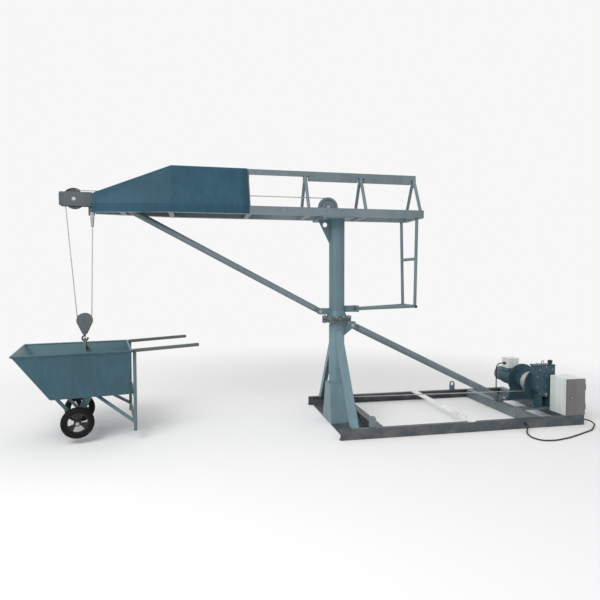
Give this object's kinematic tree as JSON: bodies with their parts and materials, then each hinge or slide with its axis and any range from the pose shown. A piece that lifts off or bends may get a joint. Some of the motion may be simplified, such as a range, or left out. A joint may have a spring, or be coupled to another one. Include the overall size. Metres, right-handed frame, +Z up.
{
  "type": "material hoist",
  "caption": "Slewing material hoist: rail base with an electric drum winch, column, lattice boom with a sheet cover, rope and hook block carrying a barrow.",
  "frame": {"origin": "on the ground under the column's axis", "axes": "+X along the base towards the winch, +Y to the machine's right seen from the winch looking at the boom head, +Z up"},
  "size_m": [5.8426, 1.8573, 2.6936],
  "materials": {
    "paint": "semi-gloss blue-grey paint",
    "rail_paint": "dark grey paint",
    "light_paint": "light grey paint",
    "steel": "plain machined steel",
    "rope": "galvanised wire rope",
    "bronze": "bearing bronze",
    "tyre": "black tyre rubber",
    "cable": "grey cable rubber",
    "wheel_paint": "black paint",
    "plastic": "grey moulded plastic"
  },
  "bodies": {
    "base": {"left_rail": "rail_paint", "right_rail": "rail_paint", "front_beam": "rail_paint", "middle_cross_bar": "light_paint", "winch_bed": "paint", "lifting_lugs": "paint", "column_foot": "paint", "lower_column": "paint", "slew_bushes": "bronze", "side_braces": "paint", "back_stay": "paint", "base_pins": "steel", "base_bolts": "steel", "gear_case": "paint", "gear_case_cover": "paint", "drum_stand": "paint", "motor_body": "paint", "fan_cowl": "paint", "terminal_box": "light_paint", "cabinet_body": "light_paint", "cabinet_fittings": "plastic", "cable_glands": "cable", "supply_cable": "cable", "winch_rope": "rope"},
    "boom": {"upper_column": "paint", "bottom_chords": "paint", "top_chord": "paint", "boom_lattice": "paint", "boom_cover": "paint", "head_cheeks": "paint", "boom_pins": "steel", "boom_strut": "paint", "tail_frame": "paint", "boom_rope": "rope", "front_fall": "rope", "rear_fall": "rope", "rope_anchor": "steel"},
    "drum": {"rope_drum": "paint", "drum_gear": "steel"},
    "layshaft": {"layshaft": "steel"},
    "rotor": {"motor_shaft": "steel"},
    "foot_sheave": {"foot_sheave": "steel"},
    "head_sheave": {"head_sheave": "steel"},
    "top_sheave": {"top_sheave": "steel"},
    "hook_block": {"block_cheeks": "rail_paint", "block_rope": "rope"},
    "block_sheave": {"block_sheave": "steel"},
    "hook": {"lifting_hook": "rail_paint", "bail": "steel"},
    "barrow": {"tray": "paint", "barrow_frame": "paint", "handles": "paint"},
    "left_wheel": {"left_tyre": "tyre", "left_hub": "wheel_paint"},
    "right_wheel": {"right_tyre": "tyre", "right_hub": "wheel_paint"},
    "door": {"cabinet_door": "rail_paint"},
    "latch": {"door_latch": "steel"}
  },
  "joints": [
    {"name": "slew", "type": "hinge", "parent": "base", "child": "boom", "pos_m": [0, 0, 1.111], "axis": [0, 0, 1], "range_deg": [-120, 120]},
    {"name": "hoist_lift", "type": "slide", "parent": "boom", "child": "hook_block", "axis": [0, 0, 1], "range_m": [0, 0.691], "deforming": ["front_fall", "rear_fall"]},
    {"name": "drum_spin", "type": "hinge", "parent": "base", "child": "drum", "pos_m": [2.28, 0, 0.355], "axis": [0, 1, 0], "range_deg": [-744.2, 10]},
    {"name": "layshaft_spin", "type": "hinge", "parent": "base", "child": "layshaft", "pos_m": [2.28, 0, 0.4675], "axis": [0, 1, 0], "range_deg": [-10, 2947]},
    {"name": "motor_spin", "type": "hinge", "parent": "base", "child": "rotor", "pos_m": [2.28, 0, 0.355], "axis": [0, 1, 0], "range_deg": [-11757.8, 10]},
    {"name": "foot_sheave_spin", "type": "hinge", "parent": "base", "child": "foot_sheave", "pos_m": [0.06988, -0.00408, 0.315], "axis": [0.0582, 0.9983, 0], "range_deg": [-1163.8, 10]},
    {"name": "top_sheave_spin", "type": "hinge", "parent": "boom", "child": "top_sheave", "pos_m": [-0.1, 0, 2.317], "axis": [0, 1, 0], "range_deg": [-10, 817.7]},
    {"name": "head_sheave_spin", "type": "hinge", "parent": "boom", "child": "head_sheave", "pos_m": [-2.659, 0, 2.329], "axis": [0, 1, 0], "range_deg": [-10, 927.8]},
    {"name": "block_sheave_spin", "type": "hinge", "parent": "hook_block", "child": "block_sheave", "pos_m": [-2.586, 0, 1.14], "axis": [0, 1, 0], "range_deg": [-10, 621.9]},
    {"name": "hook_swivel", "type": "hinge", "parent": "hook_block", "child": "hook", "pos_m": [-2.586, 0, 1.022], "axis": [0, 0, 1], "continuous": true},
    {"name": "barrow_tip", "type": "hinge", "parent": "hook", "child": "barrow", "pos_m": [-2.586, 0, 0.82], "axis": [-0.1805, 0.9836, 0], "range_deg": [-20, 20]},
    {"name": "left_wheel_spin", "type": "hinge", "parent": "barrow", "child": "left_wheel", "pos_m": [-2.60069, -0.30771, 0.2], "axis": [-0.1805, 0.9836, 0], "continuous": true},
    {"name": "right_wheel_spin", "type": "hinge", "parent": "barrow", "child": "right_wheel", "pos_m": [-2.70901, 0.28243, 0.2], "axis": [-0.1805, 0.9836, 0], "continuous": true},
    {"name": "cabinet_door", "type": "hinge", "parent": "base", "child": "door", "pos_m": [2.536, -0.713, 0.295], "axis": [0, 0, 1], "range_deg": [0, 110]},
    {"name": "door_latch", "type": "hinge", "parent": "door", "child": "latch", "pos_m": [2.358, -0.713, 0.295], "axis": [0, 1, 0], "range_deg": [0, 90]}
  ],
  "couplings": [
    {"joint": "drum_spin", "follows": "hoist_lift", "rad_per_m": -18.182},
    {"joint": "layshaft_spin", "follows": "hoist_lift", "rad_per_m": 72.727},
    {"joint": "motor_spin", "follows": "hoist_lift", "rad_per_m": -290.91},
    {"joint": "foot_sheave_spin", "follows": "hoist_lift", "rad_per_m": -28.571},
    {"joint": "top_sheave_spin", "follows": "hoist_lift", "rad_per_m": 20},
    {"joint": "head_sheave_spin", "follows": "hoist_lift", "rad_per_m": 22.727},
    {"joint": "block_sheave_spin", "follows": "hoist_lift", "rad_per_m": 15.152}
  ]
}
